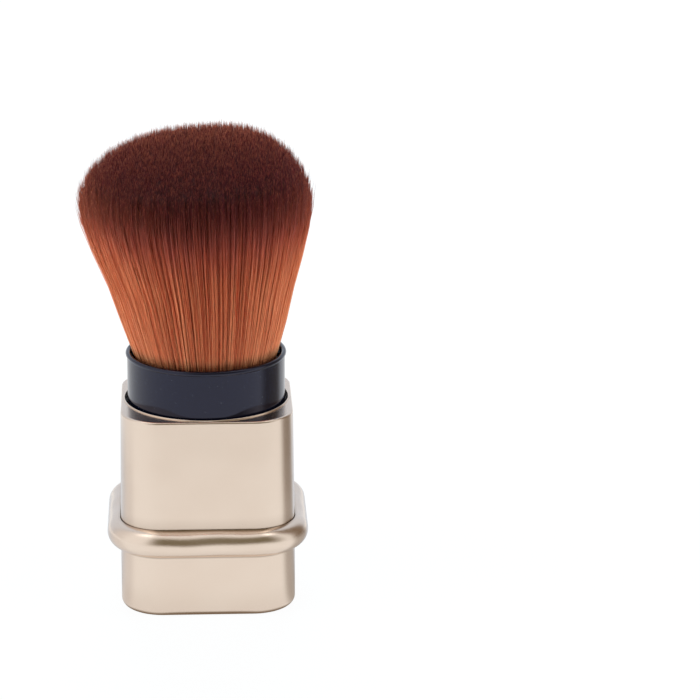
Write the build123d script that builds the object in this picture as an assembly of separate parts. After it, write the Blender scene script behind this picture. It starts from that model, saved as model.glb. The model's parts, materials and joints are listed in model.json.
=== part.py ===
"""Retractable makeup brush.

A square metal body with a rounded collar stands on its flat underside. A round black sleeve
slides up out of the body around a fixed tuft of hair and gathers it. Millimetres, +Z up. The
origin is the middle of the underside. At rest the sleeve is down and the hair is open.
"""

import os
from math import cos, pi, sin, sqrt

from build123d import *

# Body, outside
BODY_WIDTH = 32.0  # across the flats, the same front to back
BODY_CORNER = 7.8  # corner radius, seen from above
LOWER_HEIGHT = 14.3  # underside to the seam between the two shells
UPPER_HEIGHT = 23.0  # seam to the top face
UPPER_DRAFT = 0.3  # each side of the upper shell leans in by this much at its top
SHELL_WALL = 0.5
FLOOR_THICKNESS = 0.6
TOP_THICKNESS = 0.7
FOOT_RADIUS = 1.4  # rounded edge round the underside
SHOULDER_RADIUS = 0.4  # rounded edge round the top face

# Lip round the sleeve's hole
LIP_WIDTH = 0.25
LIP_HEIGHT = 0.2
LIP_ROUND = 0.1
LIP_LAND = 0.05  # flat metal left between the lip and the shoulder

# Collar between the shells
COLLAR_HEIGHT = 5.2
COLLAR_PROJECTION = 2.45  # out of the flat of the body
COLLAR_FIT = 0.1  # gap to the outside of both shells
COLLAR_WEB = 0.6  # height of the web that the shells' edges rest on

# Sleeve
SLEEVE_GAP = 0.5  # sleeve to the edge of the hole
SLEEVE_WALL = 0.7
SLEEVE_STANDING = 9.1  # mouth above the top face when the sleeve is down
RIM_PROJECTION = 0.25  # the mouth's bead stands out of the sleeve by this much

# Slide ring on the sleeve's lower end
RING_FLANGE = 2.5
RING_SPIGOT = 2.0
RING_WALL = 0.85
LUG_WIDTH = 5.0
LUG_PLAY = 0.1  # lug to the sides of its groove
LUG_END_PLAY = 0.2  # lug to the bottom of its groove

# Liner
LINER_TOP_GAP = 0.2  # liner to the underside of the top face
GROOVE_BACKING = 1.75  # liner left behind each groove
STOP_LAND = 4.1  # liner left above each groove
STOP_GAP = 0.1  # left at either end of the sleeve's travel
GROOVE_ANGLES = (45, 225)
SCREW_ANGLES = (135, 315)

# Base plate and bumper
PLATE_THICKNESS = 2.4
BUMPER_THICKNESS = 0.6
BUMPER_WALL = 1.6

# Post
POST_FOOT = 2.0
HUB_RADIUS = 4.5
RIB_THICKNESS = 0.9
RIB_COUNT = 10
POST_HEAD = 2.6
HEAD_GAP = 0.6  # post head to the sleeve's bore
POST_CLEARANCE = 0.4  # foot and ribs to the slide ring's bore

# Friction ring
FRICTION_CORD = 1.4  # thickness of the ring's cord
FRICTION_GAP = 0.08  # ring to the sleeve's bore

# Ferrule
FERRULE_GAP = 0.4  # ferrule to the sleeve's bore
FERRULE_WALL = 0.5
FERRULE_HEIGHT = 5.4
FERRULE_RECESS = 2.4  # ferrule's edge below the sleeve's mouth
GLUE_RECESS = 0.1  # top of the glue below the ferrule's edge

# Hair
SLICE_THICKNESS = 0.6  # top of the glue, which holds the strands
STRAND_COUNT = 420
STRAND_SIDE = 0.6  # width of a strand where it leaves the glue
STRAND_SPACE = 0.25  # outermost strands to the ferrule
TUFT_WIDTH = 43.2
TUFT_DEPTH = 41.0
TUFT_LEAN = 1.7  # the widest part stands this far to the left of the axis
WIDEST_RISE = 29.1  # sleeve's mouth to the widest part
DOME_HEIGHT = 12.6  # widest part to the top of the hair
LENGTH_SHARES = (0, 0.55, 0.8, 1)  # sections of a strand, from the glue to its tip
SPREAD_SHARES = (0, 0.6, 0.87, 1)  # how far it has moved out there
SIDE_SHARES = (1, 1.5, 1.6, 0.9)  # how wide it is there

# Screws
LINER_SCREW_RADIUS = 0.8
LINER_SCREW_HEAD = 1.4
LINER_SCREW_LENGTH = 6.3
LINER_SCREW_WALL = 0.85  # liner's bore to the screw
CORE_SCREW_RADIUS = 1.25
CORE_SCREW_HEAD = 2.2
CORE_SCREW_LENGTH = 7.5
HEAD_HEIGHT = 1.0
HEAD_SINK = 0.1  # heads lie below the underside of the base plate
SLOT_WIDTH = 0.4
SLOT_DEPTH = 0.4

# Fits
FIT = 0.05  # one fixed piece inside another
RUNNING_FIT = 0.15  # sleeve in its liner
THREAD_FIT = 0.02  # screw in its tapped hole
HOLE_FIT = 0.1  # screw in a hole that it passes through
OVERRUN = 1.0  # cutting bodies reach past what they cut

# Heights
SEAM = LOWER_HEIGHT
BODY_TOP = LOWER_HEIGHT + UPPER_HEIGHT
WEB_BOTTOM = SEAM - COLLAR_WEB / 2
WEB_TOP = SEAM + COLLAR_WEB / 2
PLATE_TOP = FLOOR_THICKNESS + PLATE_THICKNESS
RING_BOTTOM = PLATE_TOP + BUMPER_THICKNESS + STOP_GAP
SLEEVE_BOTTOM = RING_BOTTOM + RING_FLANGE
MOUTH = BODY_TOP + SLEEVE_STANDING
LINER_TOP = BODY_TOP - TOP_THICKNESS - LINER_TOP_GAP
GROOVE_TOP = LINER_TOP - STOP_LAND
TRAVEL = GROOVE_TOP - STOP_GAP - SLEEVE_BOTTOM
FERRULE_TOP = MOUTH - FERRULE_RECESS
FERRULE_BOTTOM = FERRULE_TOP - FERRULE_HEIGHT
GLUE_BOTTOM = FERRULE_BOTTOM + FERRULE_WALL
GLUE_TOP = FERRULE_TOP - GLUE_RECESS
SLICE_BOTTOM = GLUE_TOP - SLICE_THICKNESS
HEAD_BOTTOM = FERRULE_BOTTOM - POST_HEAD
SEAT = FLOOR_THICKNESS + HEAD_SINK + HEAD_HEIGHT  # where the lower screws' heads bear
STRAND_BOTTOM = SLICE_BOTTOM + SLICE_THICKNESS / 2

# Radii and half widths
BODY_HALF = BODY_WIDTH / 2
TOP_HALF = BODY_HALF - UPPER_DRAFT
TOP_CORNER = BODY_CORNER - UPPER_DRAFT
HOLE_RADIUS = TOP_HALF - SHOULDER_RADIUS - LIP_WIDTH - LIP_LAND
SLEEVE_RADIUS = HOLE_RADIUS - SLEEVE_GAP
SLEEVE_BORE = SLEEVE_RADIUS - SLEEVE_WALL
LINER_BORE = SLEEVE_RADIUS + RUNNING_FIT
SPIGOT_RADIUS = SLEEVE_BORE - FIT
RING_BORE = SPIGOT_RADIUS - RING_WALL
POST_RADIUS = RING_BORE - POST_CLEARANCE
POST_HEAD_RADIUS = SLEEVE_BORE - HEAD_GAP
FERRULE_RADIUS = SLEEVE_BORE - FERRULE_GAP
GLUE_RADIUS = FERRULE_RADIUS - FERRULE_WALL - FIT
INSET = SHELL_WALL + FIT  # outside of the body to whatever fills a shell
SCREW_CIRCLE = LINER_BORE + LINER_SCREW_WALL + LINER_SCREW_RADIUS

GOLDEN_ANGLE = pi * (3 - sqrt(5))
ABOVE = (Align.CENTER, Align.CENTER, Align.MIN)


def corner_reach(half, corner):
    """Distance from the axis to the rounded corner of a square."""
    return half * sqrt(2) - corner * (sqrt(2) - 1)


GROOVE_REACH = corner_reach(TOP_HALF - INSET, TOP_CORNER - INSET) - GROOVE_BACKING
LUG_REACH = GROOVE_REACH - LUG_END_PLAY


def square(half, corner, z):
    """Rounded square at height z."""
    return Pos(0, 0, z) * RectangleRounded(2 * half, 2 * half, corner)


def block(inset, bottom, top):
    """Straight block of the body's plan, inset all round. A negative inset makes it larger."""
    return extrude(square(BODY_HALF - inset, BODY_CORNER - inset, bottom), top - bottom)


def tapered_block(inset, bottom, top):
    """Block that follows the upper shell's draft, inset all round."""
    sections = []
    for z in (bottom, top):
        lean = inset + UPPER_DRAFT * (z - SEAM) / UPPER_HEIGHT
        sections.append(square(BODY_HALF - lean, BODY_CORNER - lean, z))
    return loft(sections, ruled=True)


def disc(radius, bottom, top):
    return Pos(0, 0, bottom) * Cylinder(radius, top - bottom, align=ABOVE)


def tube(outer, inner, bottom, top):
    return disc(outer, bottom, top) - disc(inner, bottom - OVERRUN, top + OVERRUN)


def bar(start, end, width, bottom, top, angle):
    """Upright bar that runs outwards from the axis between two radii."""
    box = Box(end - start, width, top - bottom, align=(Align.MIN, Align.CENTER, Align.MIN))
    return Rot(0, 0, angle) * Pos(start, 0, bottom) * box


def at_screws(shape):
    """The shape at each of the liner's screws."""
    return [Rot(0, 0, angle) * Pos(SCREW_CIRCLE, 0, 0) * shape for angle in SCREW_ANGLES]


def edges_at(solid, z):
    return solid.edges().filter_by_position(Axis.Z, z, z)


def lower_shell():
    """Drawn metal cup that the brush stands on."""
    outside = block(0, 0, WEB_BOTTOM)
    outside = fillet(edges_at(outside, 0), FOOT_RADIUS)
    hollow = block(SHELL_WALL, FLOOR_THICKNESS, WEB_BOTTOM + OVERRUN)
    hollow = fillet(edges_at(hollow, FLOOR_THICKNESS), FOOT_RADIUS - SHELL_WALL)
    return outside - hollow


def upper_shell():
    """Drawn metal cover with the sleeve's hole and its raised lip."""
    outside = tapered_block(0, WEB_TOP, BODY_TOP)
    outside = fillet(edges_at(outside, BODY_TOP), SHOULDER_RADIUS)
    outside += disc(HOLE_RADIUS + LIP_WIDTH, BODY_TOP - TOP_THICKNESS, BODY_TOP + LIP_HEIGHT)
    hollow = tapered_block(SHELL_WALL, WEB_TOP - OVERRUN, BODY_TOP - TOP_THICKNESS)
    shell = outside - hollow - disc(HOLE_RADIUS, SEAM, BODY_TOP + LIP_HEIGHT + OVERRUN)
    return fillet(edges_at(shell, BODY_TOP + LIP_HEIGHT), LIP_ROUND)


def collar_ring():
    """Half-round bead over the seam, with a web inside that both shells rest on."""
    path = square(BODY_HALF + COLLAR_FIT, BODY_CORNER + COLLAR_FIT, SEAM).wire()
    along = path.tangent_at(0)
    outwards = along.cross(Vector(0, 0, 1))  # the path runs counter-clockwise
    half = COLLAR_HEIGHT / 2
    swell = COLLAR_PROJECTION - COLLAR_FIT
    bow = ThreePointArc((0, -half), (swell, 0), (0, half))
    section = make_face([bow, Line((0, half), (0, -half))])
    bead = sweep(Plane(path.position_at(0), x_dir=outwards, z_dir=along) * section, path)
    web = block(-COLLAR_FIT, WEB_BOTTOM, WEB_TOP)
    return bead + web - block(SHELL_WALL, WEB_BOTTOM - OVERRUN, WEB_TOP + OVERRUN)


def liner():
    """Moulded guide that fills both shells and holds the sleeve's bore and grooves."""
    body = block(INSET, PLATE_TOP, SEAM) + tapered_block(INSET, SEAM, LINER_TOP)
    body -= disc(LINER_BORE, PLATE_TOP - OVERRUN, LINER_TOP + OVERRUN)
    for angle in GROOVE_ANGLES:
        width = LUG_WIDTH + 2 * LUG_PLAY
        body -= bar(0, GROOVE_REACH, width, PLATE_TOP - OVERRUN, GROOVE_TOP, angle)
    tip = SEAT + LINER_SCREW_LENGTH + HOLE_FIT
    pilot = disc(LINER_SCREW_RADIUS + THREAD_FIT, PLATE_TOP - OVERRUN, tip)
    return body - at_screws(pilot)


def screw(shank, head, length):
    """Slotted screw. Its head lies below z = 0 and its shank rises from there."""
    body = disc(head, -HEAD_HEIGHT, 0) + disc(shank, 0, length)
    slot = Pos(0, 0, -HEAD_HEIGHT) * Box(2 * head + OVERRUN, SLOT_WIDTH, 2 * SLOT_DEPTH)
    return body - slot


def sunk_hole(shank, head):
    """Cut through the base plate for a screw whose head is sunk in its underside."""
    return disc(shank + HOLE_FIT, 0, PLATE_TOP + OVERRUN) + disc(head + HOLE_FIT, 0, SEAT)


def base_plate():
    """Plate on the floor of the lower shell, with sunk holes for three screws."""
    plate = block(INSET, FLOOR_THICKNESS, PLATE_TOP)
    plate = fillet(edges_at(plate, FLOOR_THICKNESS), FOOT_RADIUS - SHELL_WALL)
    plate -= at_screws(sunk_hole(LINER_SCREW_RADIUS, LINER_SCREW_HEAD))
    return plate - sunk_hole(CORE_SCREW_RADIUS, CORE_SCREW_HEAD)


def liner_screws():
    liner_screw = screw(LINER_SCREW_RADIUS, LINER_SCREW_HEAD, LINER_SCREW_LENGTH)
    return at_screws(Pos(0, 0, SEAT) * liner_screw)


def post_screw():
    return Pos(0, 0, SEAT) * screw(CORE_SCREW_RADIUS, CORE_SCREW_HEAD, CORE_SCREW_LENGTH)


def ferrule_screw():
    turned = Rot(180, 0, 0) * screw(CORE_SCREW_RADIUS, CORE_SCREW_HEAD, CORE_SCREW_LENGTH)
    return Pos(0, 0, GLUE_BOTTOM) * turned


def bumper_ring():
    """Soft ring under the slide ring."""
    outer = LINER_BORE - FIT
    return tube(outer, outer - BUMPER_WALL, PLATE_TOP, PLATE_TOP + BUMPER_THICKNESS)


def post():
    """Ribbed spool that carries the ferrule inside the sleeve."""
    body = disc(POST_RADIUS, PLATE_TOP, PLATE_TOP + POST_FOOT)
    body += disc(HUB_RADIUS, PLATE_TOP, HEAD_BOTTOM)
    for count in range(RIB_COUNT):
        body += bar(0, POST_RADIUS, RIB_THICKNESS, PLATE_TOP, HEAD_BOTTOM, 360 / RIB_COUNT * count)
    body += disc(POST_HEAD_RADIUS, HEAD_BOTTOM, FERRULE_BOTTOM)
    middle = HEAD_BOTTOM + POST_HEAD / 2
    half_groove = FRICTION_CORD / 2 + FIT
    floor = SLEEVE_BORE - FRICTION_GAP - FRICTION_CORD - FIT
    body -= tube(POST_HEAD_RADIUS + OVERRUN, floor, middle - half_groove, middle + half_groove)
    lower_tip = SEAT + CORE_SCREW_LENGTH + HOLE_FIT
    body -= disc(CORE_SCREW_RADIUS + THREAD_FIT, PLATE_TOP - OVERRUN, lower_tip)
    upper_tip = GLUE_BOTTOM - CORE_SCREW_LENGTH - HOLE_FIT
    return body - disc(CORE_SCREW_RADIUS + THREAD_FIT, upper_tip, FERRULE_BOTTOM + OVERRUN)


def friction_ring():
    """Rubber ring in the post's head that holds the sleeve wherever it is left."""
    cord = FRICTION_CORD / 2
    centre = SLEEVE_BORE - FRICTION_GAP - cord
    return Pos(0, 0, HEAD_BOTTOM + POST_HEAD / 2) * Torus(centre, cord)


def ferrule():
    """Metal cup that the hair is glued into."""
    cup = disc(FERRULE_RADIUS, FERRULE_BOTTOM, FERRULE_TOP)
    cup -= disc(FERRULE_RADIUS - FERRULE_WALL, GLUE_BOTTOM, FERRULE_TOP + OVERRUN)
    return cup - disc(CORE_SCREW_RADIUS + HOLE_FIT, FERRULE_BOTTOM - OVERRUN, FERRULE_TOP)


def glue_bed():
    """Hardened glue under the hair, cast over the ferrule's screw."""
    pocket_top = GLUE_BOTTOM + HEAD_HEIGHT + THREAD_FIT
    pocket = disc(CORE_SCREW_HEAD + THREAD_FIT, GLUE_BOTTOM - OVERRUN, pocket_top)
    return disc(GLUE_RADIUS, GLUE_BOTTOM, SLICE_BOTTOM) - pocket


def strand_sections(number):
    """Centre and width of one strand at each of its sections, from the glue to its tip."""
    share = sqrt((number + 0.5) / STRAND_COUNT)
    across = share * cos(number * GOLDEN_ANGLE)
    along = share * sin(number * GOLDEN_ANGLE)
    root = GLUE_RADIUS - STRAND_SPACE - STRAND_SIDE / sqrt(2)
    tip = MOUTH + WIDEST_RISE + DOME_HEIGHT * sqrt(1 - share**2)
    sections = []
    for length, spread, side in zip(LENGTH_SHARES, SPREAD_SHARES, SIDE_SHARES):
        x = across * (root + (TUFT_WIDTH / 2 - root) * spread) - TUFT_LEAN * length * share
        y = along * (root + (TUFT_DEPTH / 2 - root) * spread)
        sections.append((x, y, STRAND_BOTTOM + (tip - STRAND_BOTTOM) * length, STRAND_SIDE * side))
    return sections


def bristle_tuft():
    """Open tuft of square strands, fused to the top slice of the glue."""
    strands = []
    for number in range(STRAND_COUNT):
        sections = strand_sections(number)
        squares = [Pos(x, y, z) * Rectangle(side, side) for x, y, z, side in sections]
        strands.append(loft(squares, ruled=True))
    return disc(GLUE_RADIUS, SLICE_BOTTOM, GLUE_TOP) + strands


def least_strand_gap():
    """Least distance between two neighbouring strands, measured at their sections."""
    routes = [strand_sections(number) for number in range(STRAND_COUNT)]
    gaps = []
    for first in range(STRAND_COUNT):
        for second in range(first):
            for (x, y, _, side), (u, v, _, other) in zip(routes[first], routes[second]):
                gaps.append(max(abs(x - u), abs(y - v)) - (side + other) / 2)
    return min(gaps)


def sleeve_tube():
    """Black sleeve with a full-round bead at its mouth."""
    bead = (SLEEVE_WALL + RIM_PROJECTION) / 2
    centre = SLEEVE_BORE + bead
    middle = MOUTH - bead
    drop = sqrt(bead**2 - (SLEEVE_RADIUS - centre) ** 2)
    outline = [
        Line((SLEEVE_BORE, SLEEVE_BOTTOM), (SLEEVE_RADIUS, SLEEVE_BOTTOM)),
        Line((SLEEVE_RADIUS, SLEEVE_BOTTOM), (SLEEVE_RADIUS, middle - drop)),
        ThreePointArc((SLEEVE_RADIUS, middle - drop), (centre + bead, middle), (centre, MOUTH)),
        ThreePointArc(
            (centre, MOUTH),
            (centre - bead * cos(pi / 4), middle + bead * sin(pi / 4)),
            (SLEEVE_BORE, middle),
        ),
        Line((SLEEVE_BORE, middle), (SLEEVE_BORE, SLEEVE_BOTTOM)),
    ]
    return revolve(Plane.XZ * make_face(outline), Axis.Z)


def slide_ring():
    """Ring glued into the sleeve's lower end, with two lugs that run in the liner's grooves."""
    outer = SLEEVE_RADIUS - FIT
    top = SLEEVE_BOTTOM + RING_SPIGOT
    body = disc(outer, RING_BOTTOM, SLEEVE_BOTTOM) + disc(SPIGOT_RADIUS, SLEEVE_BOTTOM, top)
    for angle in GROOVE_ANGLES:
        body += bar(RING_BORE, LUG_REACH, LUG_WIDTH, RING_BOTTOM, SLEEVE_BOTTOM, angle)
    return body - disc(RING_BORE, RING_BOTTOM - OVERRUN, top + OVERRUN)


PIECES = (
    lower_shell,
    upper_shell,
    collar_ring,
    base_plate,
    liner,
    liner_screws,
    bumper_ring,
    post,
    post_screw,
    friction_ring,
    ferrule,
    ferrule_screw,
    glue_bed,
    bristle_tuft,
    sleeve_tube,
    slide_ring,
)

os.makedirs("parts", exist_ok=True)
for piece in PIECES:
    shape = piece()
    if isinstance(shape, list):
        shape = Compound(children=shape)
    export_step(shape, f"parts/{piece.__name__}.step")

print(f"sleeve travel {TRAVEL:.2f}")
print(f"top of the hair {MOUTH + WIDEST_RISE + DOME_HEIGHT:.1f}")
print(f"least gap between strands {least_strand_gap():.3f}")
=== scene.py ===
# %% [markdown]
# # A retractable makeup brush
# The real object is a square metal body on a flat foot, a round black sleeve that slides up
# out of it, and a full two-tone tuft of hair. The metal, the sleeve and the working parts
# inside have exact sizes, so they come from the CAD model. The hair can only be plain there,
# because a solid model holds a few hundred thick strands. So this lesson grows the hair as
# fine meshes, and gives every other piece its finish.

# %% Load the frame
import json
import math

import bpy
import numpy as np
from mathutils import Matrix, Vector


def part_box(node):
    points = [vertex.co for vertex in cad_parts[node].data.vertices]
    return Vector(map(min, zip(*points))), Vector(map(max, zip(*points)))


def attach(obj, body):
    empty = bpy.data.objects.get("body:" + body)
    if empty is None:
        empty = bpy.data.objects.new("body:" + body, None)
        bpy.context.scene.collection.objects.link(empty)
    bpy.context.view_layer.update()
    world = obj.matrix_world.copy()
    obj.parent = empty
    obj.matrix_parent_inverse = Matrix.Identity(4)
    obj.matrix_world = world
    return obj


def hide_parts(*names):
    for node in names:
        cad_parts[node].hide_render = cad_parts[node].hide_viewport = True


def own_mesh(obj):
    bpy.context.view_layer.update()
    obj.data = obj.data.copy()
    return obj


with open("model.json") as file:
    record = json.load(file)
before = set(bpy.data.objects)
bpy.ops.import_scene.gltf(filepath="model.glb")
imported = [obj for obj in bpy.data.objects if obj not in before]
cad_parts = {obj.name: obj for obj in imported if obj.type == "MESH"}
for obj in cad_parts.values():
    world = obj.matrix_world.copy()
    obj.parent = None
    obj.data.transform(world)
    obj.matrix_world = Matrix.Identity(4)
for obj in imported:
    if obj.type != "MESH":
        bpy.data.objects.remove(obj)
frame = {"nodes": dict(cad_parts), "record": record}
scene = bpy.context.scene
nodes = frame["nodes"]
MM = 0.001
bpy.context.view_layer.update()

# %% [markdown]
# ## The camera
# The photograph was taken from a little above, with a long lens. The brush stands left of the
# middle of the picture, so the camera stands in front of the brush and turns a little to the
# right. Turning it, and not shifting the lens, keeps every other view centred.

# %% Place the camera
PHOTO_SIDE = 700
SENSOR = 36.0
FOCAL_PIXELS = 3226.95
CAMERA_DISTANCE = 568.3 * MM
CAMERA_HEIGHT = 217.8 * MM
CAMERA_SIDE = math.radians(0.365)
CAMERA_TURN = math.radians(3.035)
CAMERA_PITCH = math.radians(16.81)
CAMERA_ROLL = math.radians(0.213)
CLIP_NEAR = 10 * MM
CLIP_FAR = 10.0

camera_data = bpy.data.cameras.new("camera")
camera_data.sensor_width = SENSOR
camera_data.lens = FOCAL_PIXELS / PHOTO_SIDE * SENSOR
camera_data.clip_start = CLIP_NEAR
camera_data.clip_end = CLIP_FAR
camera = bpy.data.objects.new("camera", camera_data)
scene.collection.objects.link(camera)
scene.camera = camera

forward = Vector(
    (
        math.sin(CAMERA_TURN) * math.cos(CAMERA_PITCH),
        math.cos(CAMERA_TURN) * math.cos(CAMERA_PITCH),
        -math.sin(CAMERA_PITCH),
    )
)
level_right = Vector((math.cos(CAMERA_TURN), -math.sin(CAMERA_TURN), 0))
level_up = level_right.cross(forward)
camera_right = level_right * math.cos(CAMERA_ROLL) + level_up * math.sin(CAMERA_ROLL)
camera_up = level_up * math.cos(CAMERA_ROLL) - level_right * math.sin(CAMERA_ROLL)
camera_axes = Matrix((camera_right, camera_up, -forward)).transposed().to_4x4()
camera_place = Vector(
    (
        -CAMERA_DISTANCE * math.sin(CAMERA_SIDE),
        -CAMERA_DISTANCE * math.cos(CAMERA_SIDE),
        CAMERA_HEIGHT,
    )
)
camera.matrix_world = Matrix.Translation(camera_place) @ camera_axes
print("camera lens in mm:", round(camera_data.lens, 1))

# %% [markdown]
# ## Writing materials as sums
# A material's pattern is arithmetic on values that change over a surface. Wiring Math nodes by
# hand hides that arithmetic, so one small class wraps a socket and turns Python's operators
# into Math nodes. Everything that isn't plain arithmetic comes from its one method, node, which
# takes the node's type, its settings and what goes into its sockets.

# %% A field: one socket with Python's operators


class Field:
    """A value that changes over a surface, held by one output socket of a node tree."""

    def __init__(self, tree, socket=None):
        self.tree = tree
        self.socket = socket

    def node(self, kind, settings=None, inputs=None, output=0):
        """Adds a node, sets it up, feeds it numbers or fields, and returns an output of it."""
        made = self.tree.nodes.new(kind)
        for name, value in (settings or {}).items():
            setattr(made, name, value)
        for name, value in (inputs or {}).items():
            if isinstance(value, Field):
                self.tree.links.new(value.socket, made.inputs[name])
            else:
                made.inputs[name].default_value = value
        return Field(self.tree, made.outputs[output] if made.outputs else None)

    def calculate(self, operation, first, second):
        return self.node("ShaderNodeMath", {"operation": operation}, {0: first, 1: second})

    def __add__(self, other):
        return self.calculate("ADD", self, other)

    def __radd__(self, other):
        return self.calculate("ADD", other, self)

    def __sub__(self, other):
        return self.calculate("SUBTRACT", self, other)

    def __rsub__(self, other):
        return self.calculate("SUBTRACT", other, self)

    def __mul__(self, other):
        return self.calculate("MULTIPLY", self, other)

    def __rmul__(self, other):
        return self.calculate("MULTIPLY", other, self)

    def step(self, low, high):
        """0 below low and 1 above high, with a smooth change between them."""
        return self.node(
            "ShaderNodeMapRange",
            {"interpolation_type": "SMOOTHSTEP"},
            {"Value": self, "From Min": low, "From Max": high},
        )


print("reflected operators:", [n for n in vars(Field) if n.startswith("__r")])

# %% [markdown]
# ## A few patterns that several finishes share
# Noise at a size in millimetres is the base of them all: large and soft for a cloudy tone,
# small and sharp for grain. Colours are mixed in a Mix node, because a Math node would turn
# them grey. A Mix node has sockets for every kind of value, so its colour sockets are taken by
# their numbers. Places and directions go through Vector Math.

# %% Helpers for places and patterns
MIX_COLOUR_A = 6
MIX_COLOUR_B = 7
MIX_COLOUR_RESULT = 2
NOISE_MIDDLE = 0.5


def surface_place(field):
    """The place of a point in the piece's own frame, in metres."""
    return field.node("ShaderNodeTexCoord", output="Object")


def vector_math(operation, first, second=None, output=0):
    """One step of arithmetic on places or directions."""
    inputs = {0: first} if second is None else {0: first, 1: second}
    return first.node("ShaderNodeVectorMath", {"operation": operation}, inputs, output)


def coordinate(place, axis):
    """One coordinate of a place: 0, 1 or 2 for x, y or z."""
    return place.node("ShaderNodeSeparateXYZ", inputs={0: place}, output=axis)


def noise(place, size, detail=2.0, stretch=None):
    """Noise whose blotches are about one size across; stretch draws them out along an axis."""
    if stretch:
        place = vector_math("MULTIPLY", place, stretch)
    return place.node(
        "ShaderNodeTexNoise", inputs={"Vector": place, "Scale": 1 / size, "Detail": detail}
    )


def band(value, low, full, fade, high):
    """1 from full to fade, with a smooth change to 0 at low and at high."""
    return value.step(low, full) * (1 - value.step(fade, high))


print("scale of a noise with blotches of 1 mm:", 1 / MM)

# %% [markdown]
# A finish is one shader, and its colour, roughness and relief follow the patterns. Relief that
# is too small to matter as shape goes into a Bump node, which only tilts the surface's normal.

# %% Helpers for finishes


def colour_mix(factor, first, second, blend="MIX"):
    """A colour between two colours, or the product of them with blend MULTIPLY."""
    return factor.node(
        "ShaderNodeMix",
        {"data_type": "RGBA", "blend_type": blend},
        {0: factor, MIX_COLOUR_A: first, MIX_COLOUR_B: second},
        output=MIX_COLOUR_RESULT,
    )


def bump(height, depth, strength=1.0):
    """A normal that follows a height pattern; depth turns the pattern into metres."""
    return height.node(
        "ShaderNodeBump", inputs={"Height": height, "Distance": depth, "Strength": strength}
    )


def new_material(name, wires):
    """A material whose surface is what the function wires returns."""
    made = bpy.data.materials.new(name)
    made.use_nodes = True
    made.node_tree.nodes.clear()
    start = Field(made.node_tree)
    start.node("ShaderNodeOutputMaterial", inputs={"Surface": wires(start)})
    print("material", name, "has", len(made.node_tree.nodes), "nodes")
    return made


print("colour sockets of a Mix node:", MIX_COLOUR_A, MIX_COLOUR_B, "and", MIX_COLOUR_RESULT)

# %% [markdown]
# ## Satin champagne metal
# The two shells and the collar are aluminium, bead blasted and anodised a pale gold. Blasting
# leaves a grain too fine to see as shape, which blurs what the metal mirrors and makes it
# glitter slightly. So the metal is a mirror with a middling roughness, and the grain goes into
# roughness and a very shallow bump. The collar is rolled from strip, and its skin waves a
# little, which shows only in what it mirrors.

# %% Colours and sizes of the metal
METAL_DEEP = (0.782, 0.645, 0.535, 1)
METAL_PALE = (0.816, 0.684, 0.573, 1)
# the colour of the painted shade in the creases round the collar
METAL_CREASE_SHADE = (0.240, 0.180, 0.130, 1)
METAL_ROUGHNESS = 0.20
GRAIN_ROUGHER = 0.10
SCUFF_ROUGHER = 0.16
COAT_WEIGHT = 0.35
COAT_ROUGHNESS = 0.18
CLOUD_SIZE = 9 * MM
CLOUD_LIMITS = (0.3, 0.7)
CLOUD_SHARE = 0.6
GRAIN_SIZE = 0.26 * MM
GRAIN_HEIGHT = 0.010 * MM
WAVE_SIZE = 7 * MM
WAVE_HEIGHT = 0.10 * MM
COLLAR_WAVE_SIZE = 8 * MM
COLLAR_WOBBLE = 0.32
SCUFF_SIZE = 0.7 * MM
SCUFF_LIMITS = (0.48, 0.62)
SCUFF_TOP = 1.3 * MM
CREASE_SHADE_DEPTH = 0.8
CREASE_BELOW = 0.50 * MM
CREASE_EDGE = 0.1 * MM
CREASE_ABOVE = 2.6 * MM
ABOVE_SHARE = 0.24
collar_low, collar_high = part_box("collar_ring")
collar_middle = (collar_low.z + collar_high.z) / 2
print("collar between mm:", round(collar_low.z / MM, 1), round(collar_high.z / MM, 1))

# %% [markdown]
# The creases above and below the collar are darkened with painted shade. The foot rubs on
# tables, so it gets scuffs. Over it all lies a thin clear coat, the sealed skin of the anodised
# metal.

# %% Metal of the shells and the collar


def collar_crease_shade(height):
    """Painted shade: 1 in the crease below the collar, lighter above it and fading out."""
    low, top = collar_low.z, collar_high.z
    below = band(height, low - CREASE_BELOW, low, low, low + CREASE_BELOW)
    return below + ABOVE_SHARE * band(height, top - CREASE_EDGE, top, top, top + CREASE_ABOVE)


def satin_metal(field, wobble):
    place = surface_place(field)
    height = coordinate(place, 2)
    cloud = noise(place, CLOUD_SIZE).step(*CLOUD_LIMITS)
    grain = noise(place, GRAIN_SIZE, detail=3)
    wave = noise(place, WAVE_SIZE, detail=0) * WAVE_HEIGHT
    round_the_body = noise(place, COLLAR_WAVE_SIZE, detail=0, stretch=(1, 1, 0.05))
    wave = wave + (round_the_body - NOISE_MIDDLE) * (height - collar_middle) * wobble
    foot = 1 - height.step(0, SCUFF_TOP)
    scuff = foot * noise(place, SCUFF_SIZE, stretch=(1, 1, 6)).step(*SCUFF_LIMITS)
    tone = CLOUD_SHARE * cloud + (1 - CLOUD_SHARE) * grain
    clean = colour_mix(tone, METAL_DEEP, METAL_PALE)
    return field.node(
        "ShaderNodeBsdfPrincipled",
        inputs={
            # painted shade darkens the creases round the collar
            "Base Color": colour_mix(CREASE_SHADE_DEPTH * collar_crease_shade(height), clean, METAL_CREASE_SHADE),
            "Metallic": 1.0,
            "Roughness": METAL_ROUGHNESS + GRAIN_ROUGHER * grain + SCUFF_ROUGHER * scuff,
            "Coat Weight": COAT_WEIGHT,
            "Coat Roughness": COAT_ROUGHNESS,
            "Normal": bump(wave + grain * GRAIN_HEIGHT, 1.0),
        },
    )


shell_metal = new_material("shell_metal", lambda field: satin_metal(field, 0.0))
collar_metal = new_material("collar_metal", lambda field: satin_metal(field, COLLAR_WOBBLE))

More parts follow.
